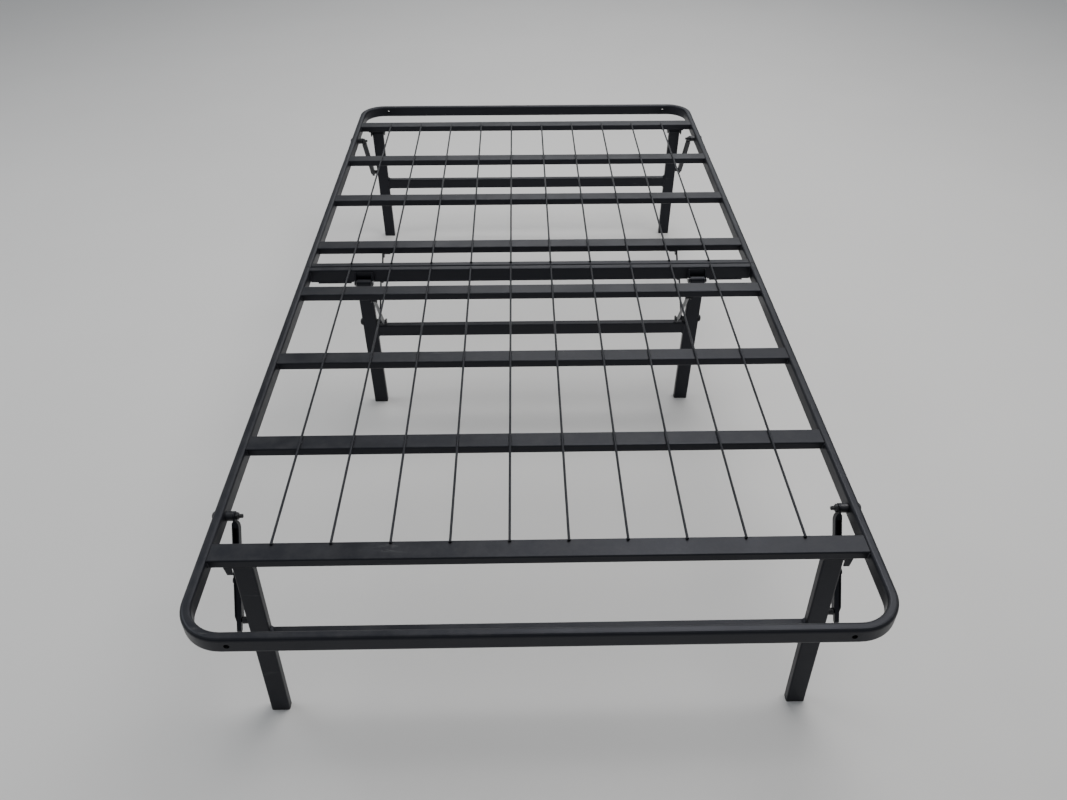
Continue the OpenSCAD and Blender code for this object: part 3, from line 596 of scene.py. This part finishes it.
def brace_fasteners(half, materials):
    """Bolts through the rail with a domed head outside and a threaded end past the nut."""
    shank_r, thread_r, end_gap = 0.0035, 0.0034, 0.0005
    bolts, nuts = Shape(), Shape()
    bolt_low, bolt_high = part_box(f"{half}_brace_bolts")
    nut_low, nut_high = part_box(f"{half}_brace_nuts")
    rail_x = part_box(f"{half}_rail")[1].x
    y, z = (bolt_low.y + bolt_high.y) / 2, (bolt_low.z + bolt_high.z) / 2
    head_r = (bolt_high.z - bolt_low.z) / 2
    nut_r = max(nut_high.z - nut_low.z, nut_high.y - nut_low.y) / 2
    nut_in, nut_out = reach_in(f"{half}_brace_nuts")
    reach = rail_x - reach_in(f"{half}_brace_bolts")[0]
    thread_start = rail_x - nut_out + 0.001
    shank = [(end_gap, shank_r), (thread_start - end_gap, shank_r)]
    for side in SIGNS:
        bolts.lathe(dome(head_r, bolt_high.x - rail_x), (side * rail_x, y, z), (side, 0, 0), 40)
        rod = shank + thread(thread_r, thread_start, reach)
        bolts.lathe(rod, (side * rail_x, y, z), (-side, 0, 0), 24)
        turn = chance.uniform(0, 1)
        hex_nut(nuts, (side * nut_out, y, z), (-side, 0, 0), nut_r, nut_out - nut_in, turn)
    bolt_piece = bolts.ride(f"{half}_bolts", materials["fastener"], f"{half}_half", "fastener_steel", 40)
    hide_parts(f"{half}_brace_bolts")
    nut_piece = nuts.ride(f"{half}_nuts", materials["fastener"], f"{half}_half", "fastener_steel", 25)
    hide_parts(f"{half}_brace_nuts")


# ---- springs ----

def coil_spring(side, materials):
    """A real extension spring with a hook at each end, from the anchor to the centre leg's bolt."""
    wire_r, coil_pitch, per_turn, end_points = 0.00065, 0.00155, 14, 32
    node = f"centre_spring_{side}"
    cos = [v.co for v in nodes[node].data.vertices]
    xs = [c.x for c in cos]
    by_height = sorted(cos, key=lambda c: c.z)
    upper = sum(by_height[-end_points:], Vector()) / end_points
    lower = sum(by_height[:end_points], Vector()) / end_points
    upper.x = lower.x = (min(xs) + max(xs)) / 2
    coil_r = (max(xs) - min(xs)) / 2 - wire_r
    along = (lower - upper).normalized()
    sideways = Vector((1, 0, 0))
    other = along.cross(sideways)
    length = (lower - upper).length
    steps = round(length / coil_pitch) * per_turn
    path = hook(upper, -along, other, coil_r)[::-1]
    for i in range(steps + 1):
        a = 2 * math.pi * i / per_turn
        centre = upper + along * (length * i / steps)
        path.append(centre + coil_r * (other * math.cos(a) + sideways * math.sin(a)))
    path += hook(lower, along, other, coil_r)
    shape = Shape()
    shape.tube(path, [wire_r] * len(path), 6)
    spring = shape.build(f"spring_{side}", materials["spring"], 60)
    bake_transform(spring)
    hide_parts(node)


def hook(end, out, other, coil_r):
    """Points of a hook from the coil's end around a pin that stands beyond it."""
    hook_r, reach = 0.0034, 0.0058
    centre = end + out * (reach + hook_r * 0.2)
    points = [end + other * coil_r * 0.9, end + out * 0.0012 + other * coil_r * 0.45]
    for i in range(15):
        a = math.radians(160 - 20 * i)
        points.append(centre + hook_r * (out * math.cos(a) + other * math.sin(a)))
    return points


# ---- end plugs of the side rails at the fold ----

# Distance inside the tube's outline and distance out from its end, from the plug's skirt to its face
PLUG_STEPS = (
    (0.0017, -0.008), (0.0014, 0.0), (0.0003, 0.0), (0.0001, 0.00025),
    (0.0006, 0.0006), (0.003, 0.0006), (0.00375, 0.0003),
)
PLUG_CORNER = 0.0048


def rail_plugs(half, sign, materials):
    """Thin moulded plugs in the open ends of the side rails beside the fold."""
    plugs = Shape()
    low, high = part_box(f"{half}_rail")
    fold_y = high.y if sign < 0 else low.y
    height = high.z - low.z
    out = Vector((0, -sign, 0))
    for side in SIGNS:
        centre = Vector((side * (high.x - RAIL_WIDTH / 2), fold_y, (high.z + low.z) / 2))
        rings = []
        for inset, depth in PLUG_STEPS:
            outline = rounded(RAIL_WIDTH - 2 * inset, height - 2 * inset, PLUG_CORNER - inset)
            rings.append([centre + out * depth + Vector((x, 0, z)) for x, z in outline])
        plugs.skin(rings)
    plugs.ride(f"{half}_rail_plugs", materials["plastic"], f"{half}_half", "foot_plastic", 35)


def rounded(width, height, radius):
    """Outline of a rounded rectangle."""
    steps = 5
    points = []
    for corner, (sx, sy) in enumerate(((1, 1), (-1, 1), (-1, -1), (1, -1))):
        for i in range(steps + 1):
            a = math.radians(corner * 90 + i * 90 / steps)
            points.append((
                sx * (width / 2 - radius) + radius * math.cos(a),
                sy * (height / 2 - radius) + radius * math.sin(a),
            ))
    return points


# ---- the whole scene ----

add_camera()
add_studio()
materials = make_materials()
finish_cad_nodes(materials)
for half, sign in HALVES.items():
    welds_of_deck(half, materials)
    welds_of_brackets(half, sign, materials)
    brace_fasteners(half, materials)
    rail_plugs(half, sign, materials)
for frame_name in ("foot", "mid", "head"):
    welds_of_legs(frame_name, materials)
for side in SIDES:
    coil_spring(side, materials)
